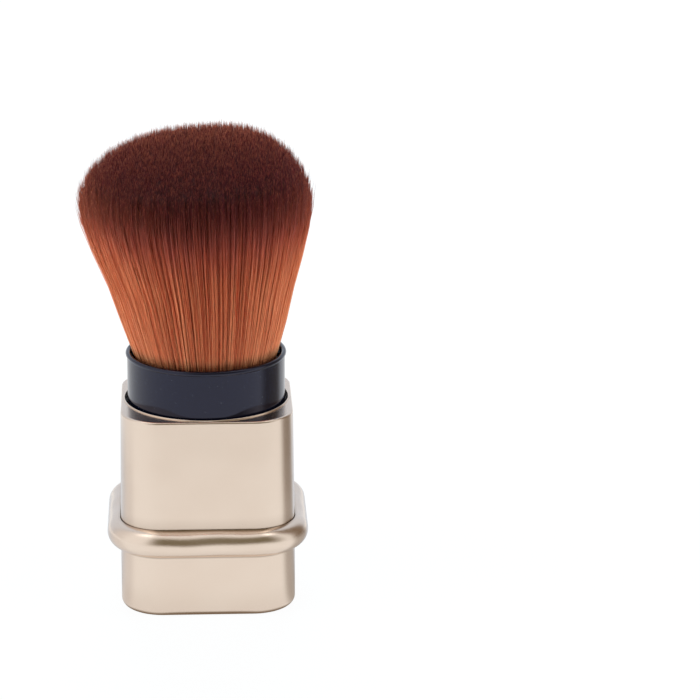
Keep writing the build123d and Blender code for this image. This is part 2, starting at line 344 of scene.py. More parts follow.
# %% [markdown]
# ## Gloss black sleeve
# The sleeve is moulded in black plastic with a polished surface. What the eye sees is almost
# only the room mirrored in it, so the colour under it is nearly black, and a bluish tint on
# the mirroring gives the cool sheen. Sliding in and out draws fine lines along it, and a few
# specks of dust stay on it.

# %% Plastic of the sleeve
SLEEVE_BLACK = (0.0020, 0.0024, 0.0065, 1)
SLEEVE_SHEEN = (0.73, 0.73, 1.0, 1)
SLEEVE_SHINE = 0.55
SLEEVE_ROUGHNESS = 0.09
LINE_SIZE = 0.25 * MM
LINE_LIMITS = (0.58, 0.72)
LINE_ROUGHER = 0.06
RIPPLE_SIZE = 5 * MM
RIPPLE_HEIGHT = 0.02 * MM
RIPPLE_STRENGTH = 0.4
RIPPLE_ROUGHER = 0.05
DUST_GREY = (0.05, 0.05, 0.055, 1)
DUST_SIZE = 0.30 * MM
DUST_LIMITS = (0.80, 0.86)
DUST_ROUGHER = 0.3


def gloss_black(field):
    place = surface_place(field)
    lines = noise(place, LINE_SIZE, stretch=(1, 1, 0.03)).step(*LINE_LIMITS)
    ripple = noise(place, RIPPLE_SIZE)
    dust = noise(place, DUST_SIZE, detail=0).step(*DUST_LIMITS)
    roughness = SLEEVE_ROUGHNESS + RIPPLE_ROUGHER * ripple + LINE_ROUGHER * lines
    return field.node(
        "ShaderNodeBsdfPrincipled",
        inputs={
            "Base Color": colour_mix(dust, SLEEVE_BLACK, DUST_GREY),
            "Roughness": roughness + DUST_ROUGHER * dust,
            "Normal": bump(ripple, RIPPLE_HEIGHT, RIPPLE_STRENGTH),
            "Specular IOR Level": SLEEVE_SHINE,
            "Specular Tint": SLEEVE_SHEEN,
        },
    )


sleeve_black = new_material("sleeve_black", gloss_black)

# %% [markdown]
# ## The working parts
# The liner, the post, the base plate and the slide ring are moulded in black plastic from a
# mould with a fine spark-eroded texture. The screws are steel turned on a lathe, so their
# grain runs round. The ferrule is drawn aluminium, with lines along the draw. The bumper and
# friction rings are rubber, which is matt and slightly dusty. The glue has set amber, with a
# skin that rises and falls softly. In each of them one pattern drives colour, roughness and
# relief together, so one helper makes them all.

# %% A finish from one pattern
STEEL_GREYS = (0.50, 0.50, 0.51, 1), (0.62, 0.62, 0.63, 1)
ALUMINIUM_GREYS = (0.64, 0.64, 0.65, 1), (0.76, 0.76, 0.77, 1)
PLASTIC_BLACKS = (0.018, 0.018, 0.020, 1), (0.030, 0.030, 0.033, 1)
RUBBER_BLACKS = (0.022, 0.022, 0.022, 1), (0.060, 0.059, 0.056, 1)
GLUE_AMBERS = (0.30, 0.17, 0.05, 1), (0.52, 0.34, 0.13, 1)


def patterned(pattern, colours, roughness, relief, tone=None, metallic=0.0):
    """A finish from one pattern; roughness is least and spread, relief depth and strength."""
    least, spread = roughness
    depth, strength = relief
    return pattern.node(
        "ShaderNodeBsdfPrincipled",
        inputs={
            "Base Color": colour_mix(tone or pattern, *colours),
            "Metallic": metallic,
            "Roughness": least + spread * pattern,
            "Normal": bump(pattern, depth, strength),
        },
    )


print("grey of turned steel from", STEEL_GREYS[0][0], "to", STEEL_GREYS[1][0])

# %% [markdown]
# What differs is the noise that makes the pattern: its size, and how it is drawn out along the
# axis or round it.

# %% Plastic, steel, rubber, plain aluminium and glue


def moulded_black(field):
    place = surface_place(field)
    spark = noise(place, 0.12 * MM, detail=3)
    cloud = noise(place, 4 * MM)
    return patterned(spark, PLASTIC_BLACKS, (0.46, 0.18), (0.02 * MM, 0.6), tone=cloud)


def turned_steel(field):
    rings = noise(surface_place(field), 0.10 * MM, stretch=(0.05, 0.05, 1))
    return patterned(rings, STEEL_GREYS, (0.22, 0.2), (0.006 * MM, 0.5), metallic=1.0)


def soft_rubber_skin(field):
    dust = noise(surface_place(field), 0.5 * MM, detail=4).step(0.45, 0.75)
    return patterned(dust, RUBBER_BLACKS, (0.72, 0.2), (0.02 * MM, 0.4))


def drawn_aluminium(field):
    lines = noise(surface_place(field), 0.15 * MM, stretch=(1, 1, 0.04))
    return patterned(lines, ALUMINIUM_GREYS, (0.26, 0.2), (0.005 * MM, 0.5), metallic=1.0)


def set_glue(field):
    skin = noise(surface_place(field), 1.6 * MM, detail=3)
    return patterned(skin, GLUE_AMBERS, (0.22, 0.2), (0.15 * MM, 0.8))


slot_material = {
    "shell_metal": shell_metal,
    "sleeve_black": sleeve_black,
    "inner_plastic": new_material("inner_plastic", moulded_black),
    "screw_steel": new_material("screw_steel", turned_steel),
    "soft_rubber": new_material("soft_rubber", soft_rubber_skin),
    "ferrule_metal": new_material("ferrule_metal", drawn_aluminium),
    "glue": new_material("glue", set_glue),
}

# %% [markdown]
# ## Giving each CAD piece its finish
# The record says which finish each CAD piece has, so the pieces are dressed from it. The collar
# has its own wavy metal. Only the hair is left out, because its CAD solid isn't shown.

# %% Dress the CAD pieces
for row in frame["record"]["subparts"]:
    finish = slot_material.get(row["material_slot"])
    if finish:
        if row["node"] == "collar_ring":
            finish = collar_metal
        mesh = nodes[row["node"]].data
        mesh.materials.clear()
        mesh.materials.append(finish)
        print(row["node"], "is", finish.name)

# %% [markdown]
# ## The tuft: where each strand stands
# The hair is a bundle of straight tapered fibres, glued in a round bed. Their feet are spread
# evenly over the bed: a sunflower spiral does that without rows or gaps. A hair particle
# system would be quicker to set up, but it makes no mesh, and the tuft is built here as a mesh.
# So the strands are worked out as arrays of points.

# %% Spread the feet of the strands
STRANDS = 36000
GOLDEN_ANGLE = math.pi * (3 - math.sqrt(5))
FOOT_RADIUS = 12.35 * MM
FOOT_SUNK = 0.1 * MM
TURN_JITTER = 0.02
SHARE_JITTER = 0.006
draw = np.random.default_rng(20)

tuft_low, tuft_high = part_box("bristle_tuft")
FOOT_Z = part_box("glue_bed")[1].z - FOOT_SUNK

order = np.arange(STRANDS)
rho = np.sqrt((order + 0.5) / STRANDS)
theta = np.mod(order * GOLDEN_ANGLE + draw.normal(0, TURN_JITTER, STRANDS), 2 * math.pi)
rho = np.clip(rho + draw.normal(0, SHARE_JITTER, STRANDS), 0, 1)
print("strands:", STRANDS, "feet at mm:", round(FOOT_Z / MM, 2))

# %% [markdown]
# ## The tuft: how the strands splay
# From the mouth of the sleeve the tuft opens like a vase: fast at first, then steadily, and
# upright again near the top. A short table says how far it has opened at a share of its height.
# The outermost strands end at the widest place, and those further in end higher, on a dome.
# The tuft in the photograph leans a little to its left, and its dome falls off at the right.

# %% The open shape of the tuft
WIDEST_Z = 75.5 * MM
DOME_RISE = tuft_high.z - WIDEST_Z
DOME_POWER = 2.3
DOME_ROUND = 0.50
TIP_CUT = 0.85 * MM
LEFT_TILT = 0.6 * MM
RIGHT_TILT = 2.3 * MM
RIGHT_DROP = 3.3 * MM
WANDER_ROOM = 0.3 * MM
LEAN_EXTRA = 0.1 * MM
HALF_WIDTH = (tuft_high.x - tuft_low.x) / 2 - WANDER_ROOM
HALF_DEPTH = (tuft_high.y - tuft_low.y) / 2
LEAN = (tuft_high.x + tuft_low.x) / 2 + LEAN_EXTRA
LEAN_CURVE = 1.5
HEIGHT_SHARES = (0, 0.088, 0.219, 0.313, 0.42, 0.564, 0.705, 0.846, 0.943, 1)
OPEN_SHARES = (0, 0.095, 0.255, 0.340, 0.430, 0.600, 0.772, 0.912, 0.977, 1)


def opening(z):
    """How far the tuft has opened at a height: 0 at the feet and 1 at the widest place."""
    return np.interp((z - FOOT_Z) / (WIDEST_Z - FOOT_Z), HEIGHT_SHARES, OPEN_SHARES)


def dome(share):
    """Height of the tuft's top at a share of its radius."""
    return WIDEST_Z + DOME_RISE * (1 - share**DOME_POWER) ** DOME_ROUND


def tilt(side):
    """How much higher the top is at a side, from -1 at the left edge to 1 at the right one."""
    return np.where(side < 0, LEFT_TILT * side, RIGHT_TILT * side - RIGHT_DROP * side**3)


print("tuft opens to mm:", round(HALF_WIDTH / MM, 1), round(HALF_DEPTH / MM, 1))

# %% [markdown]
# ## The tuft: locks
# Fibres cling together at their tips in small locks, and the dark gaps between locks are what
# the eye reads as hair. So each strand belongs to the lock whose middle is nearest. The tips of
# a lock are drawn together, and it leans a little on its own.

# %% Give every strand a lock
LOCKS = 2600
LOCK_TURN = 1.0
LOCK_JITTER = 0.008
BATCH = 2000

lock_order = np.arange(LOCKS)
lock_rho = np.sqrt((lock_order + 0.5) / LOCKS)
lock_theta = lock_order * GOLDEN_ANGLE + LOCK_TURN
lock_spot = np.stack((lock_rho * np.cos(lock_theta), lock_rho * np.sin(lock_theta)), 1)
spot = np.stack((rho * np.cos(theta), rho * np.sin(theta)), 1)
lock = np.empty(STRANDS, int)
for start in range(0, STRANDS, BATCH):
    part = spot[start : start + BATCH, None, :] + draw.normal(0, LOCK_JITTER, (1, 1, 2))
    lock[start : start + BATCH] = ((part - lock_spot[None]) ** 2).sum(2).argmin(1)
print("strands in a lock, at most:", np.bincount(lock).max())

# %% [markdown]
# Each strand also wanders slightly, a few stray, and their lengths differ, as in any brush whose
# tuft is shaped in a mould and not cut with scissors. Some fibres are shorter than the others,
# which fills the dome's surface to a few millimetres deep.

# %% Let strands wander and differ in length
LOCK_PULL = 0.16
LOCK_LEAN = 0.18 * MM
LOCK_LENGTH = 0.05 * MM
STRAND_WANDER = 0.28 * MM
STRAND_LENGTH = 0.50 * MM
STRAY_SHARE = 0.006
STRAY_WANDER = 0.9 * MM
STRAY_LONGER = 0.9 * MM
SHORT_SHARE = 0.30
SHORT_BY = 3.0 * MM
LONGEST = 1.1 * MM

lock_lean = draw.normal(0, LOCK_LEAN, (LOCKS, 2))
lock_length = draw.normal(0, LOCK_LENGTH, LOCKS)
lock_tint = draw.normal(0, 1, LOCKS)
wander = draw.normal(0, STRAND_WANDER, (STRANDS, 2))
stray = draw.random(STRANDS) < STRAY_SHARE
wander[stray] = draw.normal(0, STRAY_WANDER, (stray.sum(), 2))
length_change = lock_length[lock] + draw.normal(0, STRAND_LENGTH, STRANDS)
length_change[stray] += draw.random(stray.sum()) * STRAY_LONGER
short = draw.random(STRANDS) < SHORT_SHARE
length_change[short] -= draw.random(short.sum()) * SHORT_BY
length_change = np.minimum(length_change, LONGEST)
print("locks:", LOCKS, "strays:", int(stray.sum()), "short strands:", int(short.sum()))

# %% [markdown]
# ## The tuft: lines of points
# Each strand becomes seven points from its foot to its tip. The height of its tip comes from
# the dome, its distance from the axis from the opening, and the lock's pull and the strand's
# own wander grow towards the tip. Inside the sleeve's mouth nothing may touch the bore, so
# the spread is held there.

# %% Work out the strands' points
ALONG = np.array((0, 0.12, 0.30, 0.50, 0.70, 0.87, 1.0))
MOUTH_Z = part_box("sleeve_tube")[1].z
BORE_HOLD = 13.45 * MM
LEAST_REACH = 0.001 * MM
PULL_CURVE = 1.6
LEAN_GROWTH = 1.5
WANDER_GROWTH = 1.3

tip_z = dome(rho) - TIP_CUT + tilt(spot[:, 0]) + length_change
z = FOOT_Z + ALONG[None] * (tip_z - FOOT_Z)[:, None]
open_share = opening(z)
radius_x = FOOT_RADIUS + (HALF_WIDTH - FOOT_RADIUS) * open_share
radius_y = FOOT_RADIUS + (HALF_DEPTH - FOOT_RADIUS) * open_share
x = spot[:, None, 0] * radius_x
y = spot[:, None, 1] * radius_y
centre_x = lock_spot[lock][:, None, 0] * radius_x
centre_y = lock_spot[lock][:, None, 1] * radius_y
pull = LOCK_PULL * ALONG[None] ** PULL_CURVE
x += (centre_x - x) * pull
y += (centre_y - y) * pull
grow = ALONG[None] ** LEAN_GROWTH
x += lock_lean[lock][:, None, 0] * grow + wander[:, None, 0] * grow**WANDER_GROWTH
y += lock_lean[lock][:, None, 1] * grow + wander[:, None, 1] * grow**WANDER_GROWTH
x += LEAN * open_share**LEAN_CURVE * rho[:, None]

reach = np.hypot(x, y)
held = np.minimum(reach, BORE_HOLD) / np.maximum(reach, LEAST_REACH)
in_mouth = z < MOUTH_Z
x = np.where(in_mouth, x * held, x)
y = np.where(in_mouth, y * held, y)
print("tips between mm:", round(tip_z.min() / MM, 1), round(tip_z.max() / MM, 1))

# %% [markdown]
# ## The tuft: strands as thin tubes
# A tube of three sides with smooth shading looks round at this size. It keeps its width for
# most of its length and ends in a fine tip. Each strand has a column of its own in the UV map,
# from its foot at the bottom to its tip at the top, so a material can tell a tip from a foot.

# %% Shape of one strand
SIDES = 3
STRAND_HALF = 0.069 * MM
WIDTHS = np.array((1.0, 1.0, 1.0, 1.0, 0.95, 0.82, 0.17))
THINNEST = 0.8
THICKEST = 1.2
MIDDLE_TINT = 0.5
TINT_OF_STRAND = 0.18
TINT_OF_LOCK = 0.11
RINGS = len(ALONG)
side_angle = np.arange(SIDES) * 2 * math.pi / SIDES
twist = draw.random(STRANDS) * 2 * math.pi
thickness = STRAND_HALF * draw.uniform(THINNEST, THICKEST, STRANDS)
tint = MIDDLE_TINT + TINT_OF_STRAND * draw.normal(0, 1, STRANDS) + TINT_OF_LOCK * lock_tint[lock]


def strand_points(chosen):
    """Corners of the chosen strands' rings, in one list."""
    angle = twist[chosen][:, None, None] + side_angle
    half = (thickness[chosen][:, None] * WIDTHS)[:, :, None]
    level = np.broadcast_to(z[chosen][:, :, None], (len(chosen), RINGS, SIDES))
    wide = x[chosen][:, :, None] + half * np.cos(angle)
    deep = y[chosen][:, :, None] + half * np.sin(angle)
    return np.stack((wide, deep, level), -1).reshape(-1, 3)


def ring_faces(rings, around):
    """Side faces between the rings of one tube, and its two end faces."""
    row = np.arange(rings - 1)[:, None] * around
    here = np.arange(around)
    after = (here + 1) % around
    sides = np.stack((row + here, row + after, row + around + after, row + around + here), -1)
    ends = np.stack((here[::-1], (rings - 1) * around + here))
    return sides.reshape(-1, 4), ends


def ring_map(rings, around):
    """UV of those faces' corners, over the unit square."""
    row, here = np.meshgrid(np.arange(rings - 1), np.arange(around), indexing="ij")
    u = np.stack((here, here + 1, here + 1, here), -1) / around
    v = np.stack((row, row, row + 1, row + 1), -1) / (rings - 1)
    end_u = np.arange(around) / around
    ends = np.stack((np.tile(end_u, 2), np.repeat((0.0, 1.0), around)), -1)
    return np.concatenate((np.stack((u, v), -1).reshape(-1, 2), ends))


print("faces of one strand:", sum(len(part) for part in ring_faces(RINGS, SIDES)))

# %% [markdown]
# ## The tuft: packed hair inside
# A real brush has many thousands of fibres, so one never sees deep into it. Under the outer
# fibres and a little below the tips, this tuft is filled by packed hair: a closed body with
# the tuft's own shape. The tuft is cut like a cake into narrow wedges, and each wedge is a
# piece with its strands and its share of the packed hair.

# %% Shape of the packed hair
WEDGES = 24
CORE_SHARE = 0.90
CORE_DEPTH = 1.7 * MM
CORE_EYE = 0.01
CORE_ROWS = 9
CORE_COLUMNS = 6


def packed_hair(wedge):
    """Points of one wedge of packed hair: rings with one corner on the tuft's axis."""
    wall_top = dome(CORE_SHARE) - TIP_CUT - CORE_DEPTH
    wall_z = np.linspace(FOOT_Z, wall_top, CORE_ROWS)
    roof = CORE_SHARE * np.sin(np.linspace(1, 0, CORE_ROWS)[1:] * math.pi / 2)
    roof[-1] = CORE_EYE
    share = np.concatenate((np.full(CORE_ROWS, CORE_SHARE), roof))[:, None]
    height = np.concatenate((wall_z, dome(roof) - TIP_CUT - CORE_DEPTH))[:, None]
    angle = (wedge + np.linspace(0, 1, CORE_COLUMNS)) / WEDGES * 2 * math.pi
    open_to = opening(height)
    wide = share * (np.cos(angle) * (FOOT_RADIUS + (HALF_WIDTH - FOOT_RADIUS) * open_to))
    deep = share * (np.sin(angle) * (FOOT_RADIUS + (HALF_DEPTH - FOOT_RADIUS) * open_to))
    above_wall = np.clip((height - FOOT_Z) / (wall_top - FOOT_Z), 0, 1)
    level = height + tilt(share * np.cos(angle)) * above_wall
    rings = np.stack((wide + LEAN * open_to**LEAN_CURVE * share, deep, level), -1)
    axis = np.stack((0 * height, 0 * height, height), -1)
    return np.concatenate((axis, rings), 1).reshape(-1, 3)


core_rings = CORE_ROWS * 2 - 1
core_is_smooth = np.zeros((core_rings - 1) * (CORE_COLUMNS + 1) + 2, bool)
core_is_smooth[:-2] = np.tile((False, *[True] * (CORE_COLUMNS - 1), False), core_rings - 1)
print("points of one wedge of packed hair:", core_rings * (CORE_COLUMNS + 1))

# %% [markdown]
# The strands take the left nine tenths of the UV map, in columns with a gap between them, and
# the packed hair takes a strip at the right. The strip ends at 0.7 of the height, and the edge
# of the packed hair's roof lies halfway up it.

# %% Lay out the UV map of a wedge
STRAND_MAP = 0.90
COLUMN_FILL = 0.9
CORE_MAP_MARGIN = 0.01
CORE_MAP_TOP = 0.7
CORE_EDGE_V = CORE_MAP_TOP / 2


def wedge_map(count):
    """UV of all corners of a wedge with that many strands."""
    side_corners = (RINGS - 1) * SIDES * 4
    side_map, end_map = np.split(ring_map(RINGS, SIDES), (side_corners,))
    column = np.arange(count)[:, None, None] * np.array((1.0, 0.0))
    shrink = np.array((STRAND_MAP / count, 1.0))
    strand_maps = [
        ((column + part * (COLUMN_FILL, 1.0)) * shrink).reshape(-1, 2)
        for part in (side_map, end_map)
    ]
    core_width = 1 - 2 * CORE_MAP_MARGIN - STRAND_MAP
    core_map = ring_map(core_rings, CORE_COLUMNS + 1) * (core_width, CORE_MAP_TOP)
    return np.concatenate((*strand_maps, core_map + (STRAND_MAP + CORE_MAP_MARGIN, 0)))


print("UV corners of a wedge with one strand:", len(wedge_map(1)))

# %% [markdown]
# Now the two are joined into one mesh. A tint goes with every point, so that no two locks are
# quite the same colour.

# %% One wedge of hair


def wedge_faces(count, core_start):
    """All faces of a wedge: of that many strands, then of its packed hair."""
    sides, ends = ring_faces(RINGS, SIDES)
    first = np.arange(count)[:, None, None] * RINGS * SIDES
    strand_faces = [(first + sides).reshape(-1, 4), (first + ends).reshape(-1, SIDES)]
    return strand_faces + [part + core_start for part in ring_faces(core_rings, CORE_COLUMNS + 1)]


def wedge_mesh(wedge, chosen):
    """The mesh of one wedge: its strands, then its packed hair."""
    points = strand_points(chosen)
    core = packed_hair(wedge)
    faces = wedge_faces(len(chosen), len(points))
    corners = np.concatenate([part.ravel() for part in faces])
    face_sizes = np.concatenate([np.full(len(part), part.shape[1]) for part in faces])
    places = np.concatenate((points, core))
    core_tints = np.full(len(core), MIDDLE_TINT)
    tints = np.concatenate((np.repeat(tint[chosen], RINGS * SIDES), core_tints))
    mesh = bpy.data.meshes.new(f"hair_{wedge + 1:02d}")
    mesh.vertices.add(len(places))
    mesh.vertices.foreach_set("co", places.ravel().astype(np.float32))
    mesh.loops.add(len(corners))
    mesh.loops.foreach_set("vertex_index", corners.astype(np.int32))
    mesh.polygons.add(len(face_sizes))
    first_corners = np.cumsum(face_sizes) - face_sizes
    mesh.polygons.foreach_set("loop_start", first_corners.astype(np.int32))
    mesh.update(calc_edges=True)
    smooth = np.ones(len(face_sizes), bool)
    smooth[-len(core_is_smooth) :] = core_is_smooth
    mesh.polygons.foreach_set("use_smooth", smooth)
    uv = mesh.uv_layers.new(name="OFBake")
    uv.data.foreach_set("uv", wedge_map(len(chosen)).ravel().astype(np.float32))
    colour = mesh.attributes.new("tint", "FLOAT", "POINT")
    colour.data.foreach_set("value", tints.astype(np.float32))
    return mesh


wedge_of = np.minimum((theta / (2 * math.pi) * WEDGES).astype(int), WEDGES - 1)
print("strands in a wedge:", np.bincount(wedge_of).min(), "to", np.bincount(wedge_of).max())

# %% [markdown]
# ## The colours of the hair
# The fibres are dyed twice: orange-brown all along, and dark brown over the upper half. The
# dye creeps up unevenly, so its edge is soft and differs from strand to strand. At the sides
# its edge is lifted, as painted light. Between the two dyes the hair is a dull red. The sides,
# most of all low down, and the hair just above the sleeve are painted paler, as painted light.

# %% The two dyes
BARE_DEEP, BARE_PALE = (0.545, 0.057, 0.0125, 1), (0.96, 0.330, 0.140, 1)
RED_DEEP, RED_PALE = (0.29, 0.032, 0.016, 1), (0.64, 0.130, 0.082, 1)
DARK_DEEP, DARK_PALE = (0.050, 0.0017, 0.0044, 1), (0.176, 0.0085, 0.0185, 1)
RED_FROM, RED_TO = 61 * MM, 72 * MM
DARK_FROM, DARK_TO = 67.3 * MM, 81 * MM
DYE_SCATTER = 5 * MM
DYE_EDGE_PAINTED_LIFT = 3.3 * MM
STREAK_SIZE = 0.28 * MM
STREAK_STRENGTH = 1.2
SIDES_PAINTED_LIGHT = 0.46
LOW_SIDES_PAINTED_LIGHT = 2.3
FOOT_PAINTED_LIGHT = 0.16
FOOT_TOP = MOUTH_Z + 14 * MM


def dyed_hair(place, own):
    """Dyed colour, painted lighter at the sides and foot, and how far the dark dye covers it."""
    height = coordinate(place, 2)
    sideways = coordinate(place, 0) * (1 / HALF_WIDTH)
    at_side = sideways * sideways
    # painted light: paler at the sides, most of all low down, and just above the sleeve
    painted_side_light = LOW_SIDES_PAINTED_LIGHT - (LOW_SIDES_PAINTED_LIGHT - 1) * height.step(MOUTH_Z, WIDEST_Z)
    painted_foot_light = 1 - height.step(MOUTH_Z, FOOT_TOP)
    streak = noise(place, STREAK_SIZE, stretch=(1, 1, 0.08)) - NOISE_MIDDLE
    shade = own + STREAK_STRENGTH * streak + at_side * painted_side_light * SIDES_PAINTED_LIGHT + painted_foot_light * FOOT_PAINTED_LIGHT
    # the dark dye's edge is lifted at the sides, as painted light
    dye_line = height + (own - MIDDLE_TINT) * DYE_SCATTER - at_side * DYE_EDGE_PAINTED_LIFT
    darkened = dye_line.step(DARK_FROM, DARK_TO)
    bare = colour_mix(shade, BARE_DEEP, BARE_PALE)
    red = colour_mix(shade, RED_DEEP, RED_PALE)
    dark = colour_mix(shade, DARK_DEEP, DARK_PALE)
    warm = colour_mix(dye_line.step(RED_FROM, RED_TO), bare, red)
    return colour_mix(darkened, warm, dark), darkened


print("dark dye between mm:", round(DARK_FROM / MM, 1), round(DARK_TO / MM, 1))

# %% [markdown]
# Between packed fibres there are dark gaps. Voronoi cells drawn out along the hair give them,
# on the packed hair only. The edge of its roof is shaded too, because it lies deep between the
# strands. On the strands the upper part is shaded, as neighbours stand close there.

# %% Shade between the fibres
BLACK = (0, 0, 0, 1)
UPPER_LIMITS = (0.75, 0.97)
UPPER_SHADE = 0.48
GAP_SIZE = 0.45 * MM
GAP_LIMITS = (0.15, 0.75)
GAP_SHADE = 0.65
EDGE_BAND = (CORE_EDGE_V - 0.05, CORE_EDGE_V, CORE_EDGE_V + 0.01, CORE_EDGE_V + 0.19)
EDGE_SHADE = 0.75


def packed_gaps(place):
    """1 in the gaps between packed fibres and 0 on the fibres."""
    cell = vector_math("MULTIPLY", place, (1, 1, 0.05))
    gaps = place.node("ShaderNodeTexVoronoi", inputs={"Vector": cell, "Scale": 1 / GAP_SIZE})
    return gaps.step(*GAP_LIMITS)


def shaded(colour, along, packed, gap):
    """A colour with the shade of neighbouring strands, or of the gaps and edge of packed hair."""
    upper = along.step(*UPPER_LIMITS)
    lit = (1 - GAP_SHADE * gap) * (1 - EDGE_SHADE * band(along, *EDGE_BAND))
    shadow = UPPER_SHADE * upper * (1 - packed) + (1 - lit) * packed
    return colour_mix(shadow, colour, BLACK)


print("edge of the packed hair in the UV map:", CORE_EDGE_V)

# %% [markdown]
# The very tips are thin and let light through, which gives the dome its reddish bloom: a
# Translucent shader, mixed in most at the tips, does that, and the tips' colour is painted a
# lighter red as painted glow. The packed fibres are painted lighter as painted light on their
# shaded roof. Where the hair comes out of the sleeve, painted shade darkens it, and it lets no
# light through.

# %% Hair material
TIP_PAINTED_GLOW = (0.60, 0.130, 0.090, 1)
TIP_FROM = 0.978
TIP_GLOW_SHARE = 0.5
PACKED_PAINTED_LIGHT = (0.40, 0.085, 0.065, 1)
PACKED_LIGHT_SHARE = 0.48
PACKED_RELIEF = 0.25 * MM
MOUTH_SHADE_BROWN = (0.02, 0.005, 0.004, 1)
MOUTH_SHADE = 0.55
MOUTH_SHADE_TOP = MOUTH_Z + 2.5 * MM
GLOW_THROUGH = (0.95, 0.47, 0.315, 1)
GLOW = 0.42
GLOW_LOST_TO_DYE = 0.39
GLOW_OF_TIP = 0.52
HAIR_ROUGHNESS = 0.34
TINT_ROUGHER = 0.15
HAIR_SHINE = 0.33


def hair_fibre(field):
    place = surface_place(field)
    own = field.node("ShaderNodeAttribute", {"attribute_name": "tint"}, output="Fac")
    strand_map = field.node("ShaderNodeUVMap", {"uv_map": "OFBake"})
    along = coordinate(strand_map, 1)
    tip = along.step(TIP_FROM, 1.0)
    packed = coordinate(strand_map, 0).step(STRAND_MAP, STRAND_MAP + CORE_MAP_MARGIN / 2)
    gap = packed_gaps(place)
    at_mouth = 1 - coordinate(place, 2).step(MOUTH_Z, MOUTH_SHADE_TOP)
    colour, darkened = dyed_hair(place, own)
    # painted glow: the tips' colour is painted a lighter red
    colour = colour_mix(TIP_GLOW_SHARE * tip * (1 - packed), colour, TIP_PAINTED_GLOW)
    # painted light: the packed fibres are painted lighter and redder against their shade
    colour = colour_mix(PACKED_LIGHT_SHARE * packed * (1 - gap), colour, PACKED_PAINTED_LIGHT)
    colour = shaded(colour, along, packed, gap)
    fibre = field.node(
        "ShaderNodeBsdfPrincipled",
        inputs={
            # painted shade darkens the hair where it comes out of the sleeve
            "Base Color": colour_mix(MOUTH_SHADE * at_mouth, colour, MOUTH_SHADE_BROWN),
            "Roughness": HAIR_ROUGHNESS + TINT_ROUGHER * own,
            "Specular IOR Level": HAIR_SHINE,
            "Normal": bump(packed * (1 - gap), PACKED_RELIEF),
        },
    )
    through = field.node("ShaderNodeBsdfTranslucent", inputs={"Color": GLOW_THROUGH})
    glow = (GLOW - GLOW_LOST_TO_DYE * darkened + GLOW_OF_TIP * tip) * (1 - at_mouth)
    return field.node("ShaderNodeMixShader", inputs={0: glow, 1: fibre, 2: through})


hair_material = new_material("hair", hair_fibre)

# %% [markdown]
# ## The wedges of the tuft
# Each wedge becomes an object of its own on the body, in place of the CAD tuft, which is
# hidden. How far the wedge reaches from the axis is worked out as well.

# %% Place the wedges
GATHERED = BORE_HOLD

for wedge in range(WEDGES):
    chosen = np.flatnonzero(wedge_of == wedge)
    mesh = wedge_mesh(wedge, chosen)
    mesh.materials.append(hair_material)
    hair = bpy.data.objects.new(mesh.name, mesh)
    scene.collection.objects.link(hair)
    middle = (wedge + 0.5) / WEDGES * 2 * math.pi
    outward = (math.cos(middle), math.sin(middle), 0)
    furthest = (x[chosen] * outward[0] + y[chosen] * outward[1]).max()
    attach(hair, "body")
    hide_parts("bristle_tuft")
    GATHERED / furthest
    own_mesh(hair)
print("hair wedges:", WEDGES, "strands in all:", STRANDS)

# %% [markdown]
# ## The room
# Metal shows its surroundings, so the room is part of the finish. Cards and screens round the
# brush would do it, as in a real studio, but they would stand in the way of other views. So the
# room is a world whose colour depends on the direction, and each card is a soft cone of
# directions in it.

# %% Directions in the room


def towards(azimuth, elevation):
    """A direction: azimuth in degrees from the camera's side towards its right."""
    flat = math.cos(math.radians(elevation))
    turned = math.radians(azimuth)
    return (
        flat * math.sin(turned),
        -flat * math.cos(turned),
        math.sin(math.radians(elevation)),
    )


def cone(direction, middle, outer, inner):
    """1 for directions within inner degrees of a middle one, and 0 beyond outer degrees."""
    nearness = vector_math("DOT_PRODUCT", direction, middle, output="Value")
    return nearness.step(math.cos(math.radians(outer)), math.cos(math.radians(inner)))


def level_direction(direction):
    """The direction over the floor that a direction points in, with length 1."""
    return vector_math("NORMALIZE", vector_math("MULTIPLY", direction, (1, 1, 0)))


print("straight right of the camera is", [round(v, 2) for v in towards(90, 0)])

# %% [markdown]
# The room is white, with the darker places that the reflections in the photograph give away.
# One at the right draws the dark edge down the body and the stripe on the sleeve. A faint grey
# one is at the left, and behind the brush the room is a little cooler. A broad one in front, at
# the camera's height and above, draws the olive band along the collar. Each is written as its
# middle direction and two angles from there: where it has faded out, and where it is full.

# %% Colours that the metal mirrors
WHITE = (1, 1, 1, 1)
FAINT_GREY = (0.82, 0.80, 0.80, 1)
COOL_GREY = (0.74, 0.79, 0.87, 1)
WARM_DARK = (0.22, 0.16, 0.11, 1)
OLIVE_DARK = (0.21, 0.18, 0.12, 1)
RIGHT_CARD = towards(111, 0), 28, 9
LEFT_CARD = towards(-110, 0), 30, 10
BACK_CARD = towards(180, 0), 75, 38
FRONT_CARD = towards(16, 0), 64, 18


def side_colour(direction, right=1.0, back=1.0):
    """The room's colour in a mirroring surface, by a direction over the floor."""
    level = level_direction(direction)
    colour = colour_mix(cone(level, *LEFT_CARD) * back, WHITE, FAINT_GREY)
    colour = colour_mix(cone(level, *BACK_CARD) * back, colour, COOL_GREY, "MULTIPLY")
    return colour_mix(cone(level, *RIGHT_CARD) * right, colour, WARM_DARK)


def in_front(direction):
    """1 for directions that point over the floor to the dark place in front."""
    return cone(level_direction(direction), *FRONT_CARD)


print("dark place at the right:", [round(v, 2) for v in RIGHT_CARD[0]])

# %% [markdown]
# Two bright spots high at the sides put the glints on the collar's corners. How far up and down
# the dark place in front reaches is written as sines of the elevation. The camera sees the room
# as plain white. Matt surfaces only need soft light from it, so for them it is an even pale
# grey: Light Path tells which kind of ray is looking.

